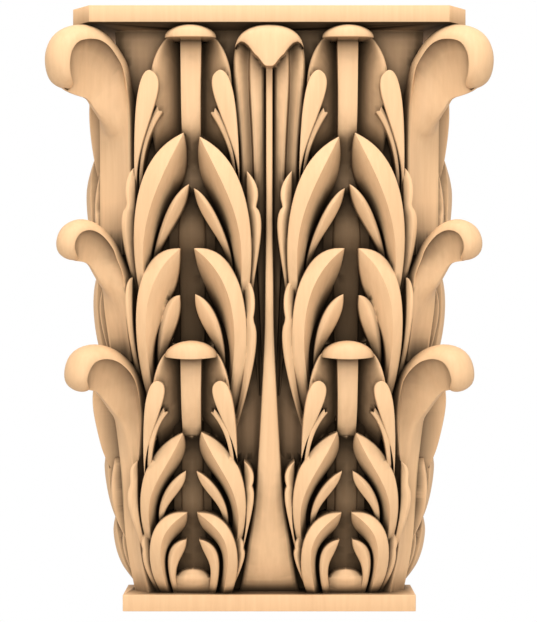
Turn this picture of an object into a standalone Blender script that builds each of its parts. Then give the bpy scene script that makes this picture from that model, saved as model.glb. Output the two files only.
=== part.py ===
"""Acanthus capital for a pilaster, carved in one block of wood.

Worked in millimetres, written to the scene in metres.  The front faces -Y and
the flat back stands at BACK_Y.  A depth is a distance out from the flat back.
The face of a full square capital is repeated round the axis at AXIS_BEHIND.
"""
import math

import bmesh
import bpy
import numpy as np
from mathutils import Matrix, Vector

MM = 0.001

# Block, plates and bell
HEIGHT = 304.8
BASE_HALF = 75.0
BASE_DEPTH = 27.0
BASE_THICK = 8.4
ABACUS_DEPTH = 49.0
ABACUS_THICK = 8.4
ABACUS_HALF = 98.5
ABACUS_CHAMFER = 9.3
AXIS_BEHIND = 49.0
RETURN_SET_BACK = 5.0
WALL_REACH = 200.0
WALL_OVER = 20.0
BACK_Y = BASE_DEPTH / 2
BELL_LEVELS = (0.0, 50.0, 100.0, 150.0, 200.0, 250.0, 300.0)
BELL_DEPTHS = (9.0, 13.0, 17.5, 21.5, 25.0, 28.0, 30.0)
BELL_CORNER_CUT = 3.0
ROOT_SINK = 3.0
ROOT_STAGGER = 0.09
HOOD_SINK = 8.0
FLAT_ANGLE = math.radians(1.0)

# Leaf columns
COLUMN_X = 39.3
COLUMN_TURN = 0.06

# Lobe outlines are cubic curves (across, height) from the tip to the root
# Lobe depths are tip, middle and root at the ridge; the drop is to the edge
LOBES = {
    "tall_upper": dict(
        outer=((4.0, 241.5), (35.1, 224.2), (31.8, 181.4), (25.2, 151.5)),
        ridge=((4.0, 241.5), (19.3, 214.2), (30.2, 183.0), (22.5, 151.5)),
        inner=((4.0, 241.5), (-1.1, 210.2), (33.3, 184.3), (18.8, 151.5)),
        depth=(48.8, 47.5, 33.0), drop=3.0),
    "tall_upper_small": dict(
        outer=((1.2, 216.0), (14.2, 207.1), (18.1, 189.9), (20.8, 175.2)),
        inner=((1.2, 216.0), (1.7, 200.6), (17.4, 190.6), (17.8, 175.2)),
        depth=(42.5, 41.0, 33.0), drop=1.6),
    "tall_side": dict(
        outer=((28.2, 224.5), (40.2, 204.5), (32.9, 179.6), (29.0, 157.0)),
        inner=((28.0, 224.5), (26.9, 202.0), (30.7, 179.2), (25.8, 157.0)),
        depth=(43.5, 42.5, 29.0), drop=1.4),
    "tall_lower": dict(
        outer=((3.5, 185.0), (38.5, 178.1), (28.8, 127.2), (21.2, 101.5)),
        ridge=((3.5, 185.0), (29.2, 165.2), (22.7, 129.2), (17.5, 101.5)),
        inner=((3.5, 185.0), (6.8, 157.0), (29.7, 130.6), (14.0, 101.5)),
        depth=(43.5, 43.0, 28.0), drop=3.0),
    "tall_lower_small": dict(
        outer=((4.0, 161.8), (19.7, 154.2), (18.3, 131.4), (15.8, 116.5)),
        inner=((4.0, 161.8), (1.3, 145.6), (19.9, 132.7), (13.0, 116.5)),
        depth=(38.0, 37.0, 28.0), drop=1.6),
    "tall_side_low": dict(
        outer=((27.8, 170.8), (39.4, 151.5), (28.8, 124.5), (25.0, 102.8)),
        inner=((27.8, 170.8), (28.9, 148.0), (28.4, 124.7), (21.8, 102.8)),
        depth=(41.0, 39.0, 24.0), drop=1.4),
    "tall_ear": dict(
        outer=((17.5, 273.5), (31.3, 256.0), (24.1, 227.9), (26.5, 206.0)),
        inner=((17.2, 273.5), (6.0, 253.8), (34.4, 228.9), (23.8, 206.0)),
        depth=(46.2, 44.8, 35.2), drop=1.0),
    "tall_ribbon": dict(
        outer=((14.8, 255.5), (24.5, 241.8), (24.3, 224.1), (25.0, 208.0)),
        inner=((12.0, 252.8), (21.1, 239.8), (23.5, 223.5), (23.0, 208.0)),
        depth=(43.0, 42.0, 34.0), drop=0.6),
    "low_upper": dict(
        outer=((4.8, 92.2), (30.1, 82.6), (30.3, 49.7), (22.5, 28.0)),
        ridge=((4.8, 92.2), (15.5, 72.7), (29.8, 51.1), (19.5, 28.0)),
        inner=((4.8, 92.2), (1.2, 70.1), (32.1, 51.8), (15.0, 28.0)),
        depth=(39.5, 38.0, 23.0), drop=2.6),
    "low_upper_small": dict(
        outer=((2.8, 72.5), (14.8, 67.3), (20.2, 52.2), (16.8, 40.0)),
        inner=((2.8, 72.5), (3.3, 60.6), (20.2, 53.1), (13.8, 40.0)),
        depth=(34.5, 33.5, 25.0), drop=1.4),
    "low_side": dict(
        outer=((27.0, 77.5), (39.7, 62.4), (27.3, 41.8), (25.8, 24.0)),
        inner=((27.0, 77.5), (26.7, 59.6), (28.9, 41.0), (21.8, 24.0)),
        depth=(35.0, 34.0, 20.0), drop=1.2),
    "low_lower": dict(
        outer=((2.5, 51.0), (25.6, 53.1), (25.7, 21.6), (17.8, 7.0)),
        ridge=((2.5, 51.0), (20.5, 43.4), (18.2, 22.4), (14.0, 7.0)),
        inner=((2.5, 51.0), (7.5, 36.7), (21.4, 24.3), (11.5, 7.0)),
        depth=(34.5, 34.0, 21.5), drop=2.2),
    "low_lower_small": dict(
        outer=((3.2, 37.0), (18.2, 35.4), (12.6, 16.8), (10.8, 7.0)),
        inner=((3.2, 37.0), (6.4, 27.3), (11.8, 17.3), (6.5, 7.0)),
        depth=(30.0, 29.5, 20.5), drop=1.5),
    "low_foot": dict(
        outer=((22.2, 42.5), (31.9, 32.9), (22.3, 18.2), (19.5, 7.0)),
        inner=((22.2, 42.5), (20.9, 30.5), (22.0, 17.7), (15.2, 7.0)),
        depth=(29.5, 28.0, 17.5), drop=1.2),
    "low_ear": dict(
        outer=((15.2, 118.5), (28.9, 105.3), (21.2, 80.1), (23.8, 62.0)),
        inner=((15.2, 118.5), (5.8, 102.5), (32.6, 81.0), (21.2, 62.0)),
        depth=(44.5, 42.0, 29.5), drop=1.1),
    "low_ribbon": dict(
        outer=((13.0, 104.8), (22.5, 93.6), (21.8, 77.8), (22.8, 64.0)),
        inner=((10.8, 102.5), (20.0, 92.0), (20.3, 77.2), (20.2, 64.0)),
        depth=(41.8, 40.2, 29.0), drop=0.5),
}
TONGUE_LEVELS = ((21.0, 3.0, 25.0), (17.0, 8.8, 25.3), (7.0, 10.0, 21.2))
CORE_LEVELS = ((240.0, 8.0, 28.0), (212.0, 11.0, 29.0), (190.0, 11.5, 30.0), (130.0, 11.0, 25.5),
               (90.0, 10.5, 22.5), (50.0, 9.5, 20.0), (7.0, 9.0, 14.0))

# Hooded leaf bodies: level, half width and depth from the hood down
TALL_BODY = ((289.0, 13.4, 41.6), (282.5, 17.2, 42.2), (273.0, 20.0, 42.4),
             (262.0, 20.6, 42.0), (252.0, 20.4, 40.6), (243.0, 19.8, 37.6),
             (232.0, 18.4, 32.2), (212.0, 15.8, 25.5))
LOW_BODY = ((129.5, 14.4, 40.8), (124.0, 17.4, 41.2), (116.0, 19.2, 40.8),
            (107.0, 19.8, 39.6), (99.0, 19.4, 36.8), (90.0, 18.2, 31.8),
            (76.0, 15.4, 24.0))
HOLLOW = 6.5
MIDRIB_RISE = 0.4
TALL_HOOD = dict(lip=289.6, top=296.2, half=12.8, back=38.5, front=51.0)
LOW_HOOD = dict(lip=129.8, top=138.4, half=13.2, back=35.0, front=49.5)

# Corner hooks: along the diagonal from the base plate's corner, then height
# Each row is rim out, rim height, heart out, heart height, half width, crown
HOOKS = {
    "top": ((5.0, 182.0, 3.6, 182.0, 12.3, 16.0), (5.2, 236.0, 4.0, 234.0, 12.3, 14.0),
            (5.6, 252.0, 7.5, 244.5, 12.3, 12.0), (7.2, 265.0, 14.2, 251.5, 12.0, 10.0),
            (9.2, 274.3, 18.4, 255.5, 11.8, 9.4),
            (11.7, 278.9, 21.0, 258.6, 11.5, 9.0), (17.1, 284.7, 24.0, 260.0, 11.2, 8.9),
            (23.0, 287.3, 26.5, 260.3, 10.8, 8.8), (29.9, 286.9, 29.5, 260.7, 10.2, 8.2),
            (35.5, 284.6, 33.0, 261.4, 9.6, 7.4), (38.7, 279.8, 36.3, 262.5, 9.0, 6.8),
            (39.5, 274.4, 38.0, 264.6, 8.5, 6.2), (37.9, 268.0, 37.0, 265.0, 7.2, 4.8),
            (34.6, 265.0, 34.4, 264.4, 4.6, 2.4)),
    "middle": ((1.0, 128.0, 0.0, 128.0, 7.8, 17.0), (4.6, 152.0, 3.2, 151.5, 8.9, 17.0),
               (5.9, 164.5, 7.0, 160.5, 9.1, 14.5), (7.8, 172.8, 13.4, 167.0, 9.2, 10.0),
               (10.6, 178.6, 17.9, 172.8, 9.0, 8.6),
               (13.3, 184.5, 20.5, 176.0, 8.8, 7.2), (18.1, 189.8, 22.8, 177.4, 8.5, 6.2),
               (22.9, 192.6, 25.0, 177.9, 8.2, 6.0), (27.6, 193.3, 27.2, 178.1, 7.9, 5.8),
               (32.1, 191.7, 29.6, 178.3, 7.4, 5.2), (34.6, 188.1, 31.8, 178.9, 6.8, 4.8),
               (34.9, 184.7, 33.0, 180.2, 6.3, 4.4), (33.2, 181.9, 32.2, 180.3, 5.2, 3.2),
               (30.4, 180.0, 30.2, 179.6, 3.0, 1.6)),
    "low": ((-12.8, 7.0, -13.2, 7.0, 5.5, 17.0), (-7.3, 30.0, -8.0, 30.0, 5.5, 19.0),
            (-4.2, 74.0, -4.9, 73.6, 7.2, 17.0), (-3.4, 95.5, -0.6, 93.6, 10.4, 15.0),
            (-1.6, 107.0, 7.2, 103.4, 11.4, 12.0), (0.4, 115.4, 12.8, 109.4, 11.6, 9.6),
            (2.7, 120.3, 15.5, 112.0, 11.5, 8.8), (7.0, 124.9, 17.6, 113.2, 11.3, 7.8),
            (12.5, 128.3, 19.8, 113.6, 11.0, 7.4), (19.0, 129.6, 22.0, 114.0, 10.4, 7.2),
            (24.6, 128.2, 24.6, 114.4, 9.6, 6.8), (27.6, 124.3, 27.0, 115.0, 8.8, 6.2),
            (28.6, 119.9, 27.0, 115.6, 8.0, 5.4), (26.6, 116.5, 25.9, 115.2, 6.2, 3.6),
            (24.0, 114.9, 23.8, 114.6, 3.4, 1.8)),
}
CHEEK_HOLLOW = 1.6

# Middle of the front
STEM_LEVELS = ((7.0, 15.8, 17.0), (30.0, 11.8, 25.0), (58.0, 7.6, 29.5), (90.0, 5.0, 32.0),
               (138.0, 2.7, 34.0), (160.0, 2.2, 36.0), (215.0, 1.7, 40.0), (280.0, 1.7, 43.0))
FLUTE_LEVELS = ((110.0, 6.0, 19.0), (150.0, 9.0, 25.0), (200.0, 13.5, 33.0),
                (235.0, 15.5, 38.0), (262.0, 18.0, 41.0), (283.0, 17.6, 42.0), (295.5, 8.0, 40.5))
FLUTE_DIP = 2.2
CAP_HALF = 16.8
CAP_TOP = 296.2
CAP_SIDE_Z = 285.5
CAP_NOSE_Z = 275.0
CAP_REST = 42.0
CAP_DEPTH = 51.0


def depth_at(levels, depths, z):
    return float(np.interp(z, levels, depths))


def bell_depth(z):
    return depth_at(BELL_LEVELS, BELL_DEPTHS, z)


def cubic(points, s):
    p = np.array(points, float)
    c = 1.0 - s
    return c ** 3 * p[0] + 3 * c * c * s * p[1] + 3 * c * s * s * p[2] + s ** 3 * p[3]


def through(values, s):
    tip, middle, root = values
    bend = 4 * middle - tip - root
    return (1 - s) ** 2 * tip + s * (1 - s) * bend + s * s * root


def front_point(across, depth, z):
    """World place of a point on the front face, in millimetres."""
    return Vector((across, BACK_Y - depth, z))


def sheet(name, along, around, place, back):
    """Close a mapped grid with a copy of itself pushed back into the block."""
    bm = bmesh.new()
    bmesh.ops.create_grid(bm, x_segments=along, y_segments=around, size=0.5)
    for v in bm.verts:
        v.co = place(v.co.x + 0.5, v.co.y + 0.5)
    bmesh.ops.remove_doubles(bm, verts=bm.verts, dist=0.05)
    grown = bmesh.ops.extrude_face_region(bm, geom=list(bm.faces))
    for item in grown["geom"]:
        if isinstance(item, bmesh.types.BMVert):
            item.co = back(item.co)
    return finish_solid(name, bm)


def finish_solid(name, bm):
    bmesh.ops.triangulate(bm, faces=list(bm.faces))
    bmesh.ops.recalc_face_normals(bm, faces=list(bm.faces))
    mesh = bpy.data.meshes.new(name)
    bm.to_mesh(mesh)
    bm.free()
    obj = bpy.data.objects.new(name, mesh)
    WORK.objects.link(obj)
    return obj


def into_bell(co):
    return Vector((co.x, BACK_Y - bell_depth(co.z) + ROOT_SINK, co.z))


def sunk(order):
    """Send a back into the bell at a depth of its own, so that no two backs lie in one plane."""
    deep = ROOT_SINK + ROOT_STAGGER * order
    return lambda co: Vector((co.x, BACK_Y - bell_depth(co.z) + deep, co.z))


def lobe(name, spec, centre, side, turn, order, along=5):
    """One carved lobe: a ridge between two lower edges, from tip to root."""
    middle = [(np.array(a) + np.array(b)) / 2 for a, b in zip(spec["outer"], spec["inner"])]
    ridge = spec.get("ridge", middle)

    def place(s, v):
        rail = spec["outer"] if v < 0.25 else ridge if v < 0.75 else spec["inner"]
        across, z = cubic(rail, s)
        depth = through(spec["depth"], s)
        if abs(v - 0.5) > 0.25:
            depth -= spec["drop"] * min(1.0, 4 * s)
        return front_point(centre + side * across, depth - turn * side * across, z)

    return sheet(name, along, 2, place, sunk(order))


def ring_body(name, levels, centre, profile, steps):
    """A standing leaf body: rows of a cross profile at each level."""
    z_rows = [row[0] for row in levels][::-1]
    half_rows = [row[1] for row in levels][::-1]
    depth_rows = [row[2] for row in levels][::-1]
    marks = [p[0] for p in profile]
    rises = [p[1] for p in profile]

    def place(s, v):
        z = z_rows[round(s * steps)]
        half = np.interp(z, z_rows, half_rows)
        depth = np.interp(z, z_rows, depth_rows)
        k = round(v * (len(profile) - 1))
        return front_point(centre + half * marks[k], depth + rises[k], z)

    return sheet(name, steps, len(profile) - 1, place, into_bell)


def hood(name, spec, centre):
    """A domed leaf tip with its lip cut level."""
    def place(s, v):
        swing = math.pi * s
        lift = 0.5 * math.pi * v
        reach = spec["front"] - spec["back"]
        across = spec["half"] * math.cos(swing) * math.cos(lift)
        depth = spec["back"] + reach * math.sin(swing) * math.cos(lift)
        z = spec["lip"] + (spec["top"] - spec["lip"]) * math.sin(lift)
        return front_point(centre + across, depth, z)

    return sheet(name, 8, 3, place, lambda co: Vector((co.x, BACK_Y - spec["back"] + HOOD_SINK, co.z)))


def hook(name, rows, side):
    """A corner leaf on the diagonal: crown, two rims, hollow cheeks and a heart."""
    count = len(rows)
    root = math.sqrt(0.5)
    out_axis = Vector((side * root, -root, 0.0))
    cross_axis = Vector((-side * root, -root, 0.0))
    foot = Vector((side * BASE_HALF, BACK_Y - BASE_DEPTH + 1.0, 0.0))
    crown_steps = 6

    def place(s, v):
        k = round(s * (count - 1))
        rim_o, rim_z, heart_o, heart_z, half, crown = rows[k]
        lo = rows[max(k - 1, 0)]
        hi = rows[min(k + 1, count - 1)]
        run = Vector((hi[0] - lo[0], hi[1] - lo[1])).normalized()
        normal = Vector((-run.y, run.x))
        n = round(v * (crown_steps + 4))
        if n <= crown_steps:
            swing = math.pi * n / crown_steps
            cross = half * math.cos(swing)
            o = rim_o + normal.x * crown * math.sin(swing)
            z = rim_z + normal.y * crown * math.sin(swing)
        else:
            step = n - crown_steps
            cross = (-half, -0.5 * half, 0.0, 0.5 * half, half)[step]
            mix = abs(cross) / half
            o = heart_o + (rim_o - heart_o) * mix
            z = heart_z + (rim_z - heart_z) * mix
            if step in (1, 3):
                cross *= 0.8
                o += normal.x * CHEEK_HOLLOW
                z += normal.y * CHEEK_HOLLOW
        spot = foot + out_axis * o + cross_axis * cross
        return Vector((spot.x, spot.y, z))

    bm = bmesh.new()
    bmesh.ops.create_grid(bm, x_segments=count - 1, y_segments=crown_steps + 4, size=0.5)
    for v in bm.verts:
        v.co = place(v.co.x + 0.5, v.co.y + 0.5)
    bmesh.ops.remove_doubles(bm, verts=bm.verts, dist=0.02)
    rims = [e for e in bm.edges if e.is_boundary]
    bmesh.ops.holes_fill(bm, edges=rims, sides=0)
    return finish_solid(name, bm)


def slab(name, outline, low, high):
    """An upright prism from a plan outline."""
    bm = bmesh.new()
    ring = [bm.verts.new((x, y, low)) for x, y in outline]
    base = bm.faces.new(ring)
    grown = bmesh.ops.extrude_face_region(bm, geom=[base])
    for item in grown["geom"]:
        if isinstance(item, bmesh.types.BMVert):
            item.co.z = high
    return finish_solid(name, bm)


def bell():
    def place(s, v):
        z = BELL_LEVELS[round(v * (len(BELL_LEVELS) - 1))]
        depth = bell_depth(z)
        half = depth + AXIS_BEHIND
        k = round(s * 3)
        across = (-half, BELL_CORNER_CUT - half, half - BELL_CORNER_CUT, half)[k]
        return front_point(across, depth - (BELL_CORNER_CUT if k in (0, 3) else 0.0), z)

    return sheet("bell", 3, len(BELL_LEVELS) - 1, place, lambda co: Vector((co.x, BACK_Y + 5.0, co.z)))


def cap():
    """The overturned tip of the middle leaf, with its nose over the stem."""
    def place(s, v):
        u = 2 * s - 1
        round_off = math.sqrt(max(0.0, 1 - u * u))
        high = CAP_SIDE_Z + (CAP_TOP - CAP_SIDE_Z) * round_off
        low = CAP_SIDE_Z - (CAP_SIDE_Z - CAP_NOSE_Z) * (1 - abs(u)) ** 1.3
        z = high + (low - high) * v
        swell = round_off ** 0.7 * math.sin(0.5 * math.pi * min(1, 1.6 * v))
        depth = CAP_REST + (CAP_DEPTH - CAP_REST) * swell
        return front_point(CAP_HALF * u, depth, z)

    return sheet("cap", 8, 4, place, into_bell)


def column(centre, side_out, tag):
    body = ((-1.0, 0.0), (-0.85, 0.4), (-0.36, -HOLLOW), (-0.28, MIDRIB_RISE),
            (0.28, MIDRIB_RISE), (0.36, -HOLLOW), (0.85, 0.4), (1.0, 0.0))
    made = [ring_body(tag + "tall_body", TALL_BODY, centre, body, len(TALL_BODY) - 1),
            ring_body(tag + "low_body", LOW_BODY, centre, body, len(LOW_BODY) - 1),
            hood(tag + "tall_hood", TALL_HOOD, centre),
            hood(tag + "low_hood", LOW_HOOD, centre)]
    made.append(ring_body(tag + "core", CORE_LEVELS, centre,
                          ((-1.0, -3.0), (-0.5, 0.0), (0.5, 0.0), (1.0, -3.0)), len(CORE_LEVELS) - 1))
    made.append(ring_body(tag + "tongue", TONGUE_LEVELS, centre,
                          ((-1.0, -1.5), (0.0, 0.0), (1.0, -1.5)), len(TONGUE_LEVELS) - 1))
    for side in (-1, 1):
        turn = COLUMN_TURN if side == side_out else -COLUMN_TURN
        for key, spec in LOBES.items():
            made.append(lobe(f"{tag}{key}{side}", spec, centre, side, turn * side, len(made)))
    return made


for old in list(bpy.data.objects):
    bpy.data.objects.remove(old, do_unlink=True)

PARTS = bpy.data.collections.new("acanthus_capital")
WORK = bpy.data.collections.new("cutters")
bpy.context.scene.collection.children.link(PARTS)
bpy.context.scene.collection.children.link(WORK)
WORK.hide_render = True

body = bell()
half = ABACUS_HALF
cut = ABACUS_CHAMFER
deep = BACK_Y - ABACUS_DEPTH
abacus_plan = ((-half, BACK_Y), (-half, deep + cut), (cut - half, deep), (half - cut, deep),
               (half, deep + cut), (half, BACK_Y))
base_plan = ((-BASE_HALF, BACK_Y), (-BASE_HALF, BACK_Y - BASE_DEPTH),
             (BASE_HALF, BACK_Y - BASE_DEPTH), (BASE_HALF, BACK_Y))
pieces = [slab("abacus", abacus_plan, HEIGHT - ABACUS_THICK, HEIGHT),
          slab("base", base_plan, 0.0, BASE_THICK)]
left = column(-COLUMN_X, -1, "left_")
right = column(COLUMN_X, 1, "right_")
pieces += left + right
stem_profile = ((-1.0, -1.0), (-0.7, 0.0), (0.7, 0.0), (1.0, -1.0))
pieces.append(ring_body("stem", STEM_LEVELS[::-1], 0.0, stem_profile, len(STEM_LEVELS) - 1))
flute_profile = ((-1.0, 0.0), (-0.75, -0.3), (-0.5, -FLUTE_DIP), (-0.4, 0.4), (-0.18, -0.5),
                 (-0.14, -FLUTE_DIP - 1), (0.14, -FLUTE_DIP - 1), (0.18, -0.5), (0.4, 0.4),
                 (0.5, -FLUTE_DIP), (0.75, -0.3), (1.0, 0.0))
pieces.append(ring_body("flutes", FLUTE_LEVELS[::-1], 0.0, flute_profile, len(FLUTE_LEVELS) - 1))
pieces.append(cap())
for side in (-1, 1):
    for key, rows in HOOKS.items():
        pieces.append(hook(f"hook_{key}{side}", rows, side))

# The return faces repeat the front face a quarter turn round the axis
axis = Matrix.Translation((0.0, BACK_Y + AXIS_BEHIND, 0.0))
set_back = Matrix.Translation((0.0, RETURN_SET_BACK, 0.0))
for group, angle, tag in ((right, -0.5 * math.pi, "return_left"), (left, 0.5 * math.pi, "return_right")):
    turn = set_back @ axis @ Matrix.Rotation(angle, 4, "Z") @ axis.inverted()
    for obj in group:
        twin = obj.copy()
        twin.data = obj.data.copy()
        twin.name = tag + obj.name
        twin.data.transform(turn)
        near = min(v.co.y for v in twin.data.vertices)
        plainer = any(word in obj.name for word in ("small", "ribbon", "hood", "core", "tongue"))
        if near > BACK_Y - 0.5 or plainer:
            bpy.data.objects.remove(twin, do_unlink=True)
            continue
        WORK.objects.link(twin)
        pieces.append(twin)

wall = slab("wall_cut", ((-WALL_REACH, BACK_Y), (WALL_REACH, BACK_Y), (WALL_REACH, BACK_Y + WALL_REACH),
                         (-WALL_REACH, BACK_Y + WALL_REACH)), -WALL_OVER, HEIGHT + WALL_OVER)


def apply_boolean(target, operation, other):
    mod = target.modifiers.new(operation, "BOOLEAN")
    mod.operation = operation
    mod.solver = "MANIFOLD"
    mod.object = other
    graph = bpy.context.evaluated_depsgraph_get()
    graph.update()
    mesh = bpy.data.meshes.new_from_object(target.evaluated_get(graph))
    target.modifiers.clear()
    target.data = mesh


def keep_outer_shell(mesh):
    """Fill the pockets shut in between overlapping lobes."""
    bm = bmesh.new()
    bm.from_mesh(mesh)
    bmesh.ops.dissolve_limit(bm, angle_limit=FLAT_ANGLE, verts=bm.verts, edges=bm.edges)
    left = set(bm.faces)
    shells = []
    while left:
        shell = [left.pop()]
        for face in shell:
            for edge in face.edges:
                for other in edge.link_faces:
                    if other in left:
                        left.discard(other)
                        shell.append(other)
        shells.append(shell)
    shells.sort(key=len)
    for shell in shells[:-1]:
        bmesh.ops.delete(bm, geom=shell, context="FACES")
    bm.to_mesh(mesh)
    bm.free()


for piece in pieces:
    apply_boolean(body, "UNION", piece)
apply_boolean(body, "DIFFERENCE", wall)
keep_outer_shell(body.data)
for piece in pieces + [wall]:
    bpy.data.objects.remove(piece, do_unlink=True)

body.name = "acanthus_capital"
WORK.objects.unlink(body)
PARTS.objects.link(body)
body.data.transform(Matrix.Scale(MM, 4))
wood = bpy.data.materials.new("carved_wood")
wood.use_nodes = True
wood.node_tree.nodes["Principled BSDF"].inputs["Base Color"].default_value = (0.80, 0.58, 0.36, 1.0)
wood.node_tree.nodes["Principled BSDF"].inputs["Roughness"].default_value = 0.55
body.data.materials.clear()
body.data.materials.append(wood)
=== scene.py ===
import math

import bmesh
import bpy
import numpy as np
from mathutils import Matrix, Vector
from mathutils.bvhtree import BVHTree


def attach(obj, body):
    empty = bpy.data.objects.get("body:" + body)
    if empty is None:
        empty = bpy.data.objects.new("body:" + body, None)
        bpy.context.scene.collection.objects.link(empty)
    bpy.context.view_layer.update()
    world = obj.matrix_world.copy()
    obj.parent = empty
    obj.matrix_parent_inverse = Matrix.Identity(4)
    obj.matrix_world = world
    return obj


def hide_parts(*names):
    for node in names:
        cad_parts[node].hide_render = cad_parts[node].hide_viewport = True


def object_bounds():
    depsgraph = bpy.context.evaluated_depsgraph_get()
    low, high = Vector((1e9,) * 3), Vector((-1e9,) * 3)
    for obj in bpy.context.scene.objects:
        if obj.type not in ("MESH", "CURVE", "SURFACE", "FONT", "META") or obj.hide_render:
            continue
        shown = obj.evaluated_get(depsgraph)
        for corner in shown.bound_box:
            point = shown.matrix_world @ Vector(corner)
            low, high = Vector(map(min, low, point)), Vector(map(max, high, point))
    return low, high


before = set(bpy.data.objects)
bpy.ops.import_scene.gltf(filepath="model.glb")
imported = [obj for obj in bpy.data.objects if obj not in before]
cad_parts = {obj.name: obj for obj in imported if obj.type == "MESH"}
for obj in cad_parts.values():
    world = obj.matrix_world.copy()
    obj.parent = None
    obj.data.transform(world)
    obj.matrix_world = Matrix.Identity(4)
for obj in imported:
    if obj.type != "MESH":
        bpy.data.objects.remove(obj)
cad_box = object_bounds()
cad_box = [list(cad_box[0]), list(cad_box[1])]

# The block: a squared board with the bell of the capital and two plates left standing.
# Everything is cut from this one piece of pale wood, so the carving below is built up in
# millimetres from the flat back and grown together at the end.
HEIGHT = 304.8
BASE_HALF = 75.0
BASE_DEPTH = 27.0
BASE_THICK = 8.4
ABACUS_DEPTH = 49.0
ABACUS_THICK = 8.4
ABACUS_HALF = 98.5
ABACUS_CHAMFER = 9.3
AXIS_BEHIND = 49.0
BACK_Y = BASE_DEPTH / 2
BELL_LEVELS = (0.0, 50.0, 100.0, 150.0, 200.0, 250.0, 300.0)
BELL_DEPTHS = (9.0, 13.0, 17.5, 21.5, 25.0, 28.0, 30.0)
BELL_CORNER_CUTS = (3.0, 3.0, 3.0, 3.0, 3.0, 3.0, 3.0)
ROOT_SINK = 3.0
ROOT_STAGGER = 0.07

carving = bpy.data.collections.new("carving")
bpy.context.scene.collection.children.link(carving)


def bell_depth(z):
    return float(np.interp(z, BELL_LEVELS, BELL_DEPTHS))


def on_front(across, depth, z):
    return Vector((across, BACK_Y - depth, z))


def into_bell(co):
    return Vector((co.x, BACK_Y - bell_depth(co.z) + ROOT_SINK, co.z))


def sunk(order):
    deep = ROOT_SINK + ROOT_STAGGER * order
    return lambda co: Vector((co.x, BACK_Y - bell_depth(co.z) + deep, co.z))


def closed_piece(name, bm):
    bmesh.ops.triangulate(bm, faces=list(bm.faces))
    bmesh.ops.recalc_face_normals(bm, faces=list(bm.faces))
    mesh = bpy.data.meshes.new(name)
    bm.to_mesh(mesh)
    bm.free()
    piece = bpy.data.objects.new(name, mesh)
    carving.objects.link(piece)
    return piece


def carved_sheet(name, along, around, place, back):
    bm = bmesh.new()
    bmesh.ops.create_grid(bm, x_segments=along, y_segments=around, size=0.5)
    for v in bm.verts:
        v.co = place(v.co.x + 0.5, v.co.y + 0.5)
    bmesh.ops.remove_doubles(bm, verts=bm.verts, dist=0.02)
    grown = bmesh.ops.extrude_face_region(bm, geom=list(bm.faces))
    for item in grown["geom"]:
        if isinstance(item, bmesh.types.BMVert):
            item.co = back(item.co)
    return closed_piece(name, bm)


def plate(name, outline, low, high, round_edge):
    bm = bmesh.new()
    base = bm.faces.new([bm.verts.new((x, y, low)) for x, y in outline])
    grown = bmesh.ops.extrude_face_region(bm, geom=[base])
    for item in grown["geom"]:
        if isinstance(item, bmesh.types.BMVert):
            item.co.z = high
    if round_edge:
        edges = [e for e in bm.edges if min(v.co.y for v in e.verts) < BACK_Y - 1.0]
        bmesh.ops.bevel(bm, geom=edges, offset=round_edge, affect="EDGES", segments=3,
                        profile=0.5, material=-1)
    return closed_piece(name, bm)


def bell_face(s, v):
    z = 2.0 + 298.0 * v
    depth = bell_depth(z)
    half = depth + AXIS_BEHIND
    cut = float(np.interp(z, BELL_LEVELS, BELL_CORNER_CUTS))
    marks = (-half, cut - half, half - cut, half)
    across = float(np.interp(s, (0.0, 0.03, 0.97, 1.0), marks))
    edge = max(0.0, abs(across) - (half - cut))
    return on_front(across, depth - edge, z)


bell = carved_sheet("bell", 46, 72, bell_face, lambda co: Vector((co.x, BACK_Y + 5.0, co.z)))
nose = BACK_Y - ABACUS_DEPTH
abacus = plate("abacus", ((-ABACUS_HALF, BACK_Y + 4.0), (-ABACUS_HALF, nose + ABACUS_CHAMFER),
                          (ABACUS_CHAMFER - ABACUS_HALF, nose), (ABACUS_HALF - ABACUS_CHAMFER, nose),
                          (ABACUS_HALF, nose + ABACUS_CHAMFER), (ABACUS_HALF, BACK_Y + 4.0)),
               HEIGHT - ABACUS_THICK, HEIGHT, 0.3)
base = plate("base", ((-BASE_HALF, BACK_Y + 4.0), (-BASE_HALF, BACK_Y - BASE_DEPTH),
                      (BASE_HALF, BACK_Y - BASE_DEPTH), (BASE_HALF, BACK_Y + 4.0)),
             0.0, BASE_THICK, 0.3)
pieces = [bell, abacus, base]

# The leaf lobes: every leaf is a stack of long curved lobes, each cut with a gouge to a
# crisp ridge, with one face turned out to the light and the other falling into the dark
# gap beside it.  An outline runs from the tip to the root, across and up from the leaf's
# own middle line.
EDGE_ROUND = 0.7
ROLL = (0.0, 0.3, 0.62, 0.86, 1.0)


def along_curve(points, count=80):
    spots = []
    for start in range(0, len(points) - 1, 3):
        p = np.array(points[start:start + 4], float)
        for k in range(count + 1):
            s = k / count
            c = 1.0 - s
            spots.append(c ** 3 * p[0] + 3 * c * c * s * p[1] + 3 * c * s * s * p[2] + s ** 3 * p[3])
    spots = np.array(spots)
    run = np.concatenate(([0.0], np.cumsum(np.linalg.norm(np.diff(spots, axis=0), axis=1))))
    run /= run[-1]
    return lambda s: np.array((np.interp(s, run, spots[:, 0]), np.interp(s, run, spots[:, 1])))


def flowing(values):
    """A smooth line through evenly spaced values."""
    y = np.array(values, float)
    n = len(y) - 1
    slope = np.gradient(y)

    def at(s):
        k = min(int(s * n), n - 1)
        t = s * n - k
        a = 2 * t ** 3 - 3 * t * t + 1
        b = t ** 3 - 2 * t * t + t
        return float(a * y[k] + b * slope[k] + (1 - a) * y[k + 1] + (t ** 3 - t * t) * slope[k + 1])

    return at


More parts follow.
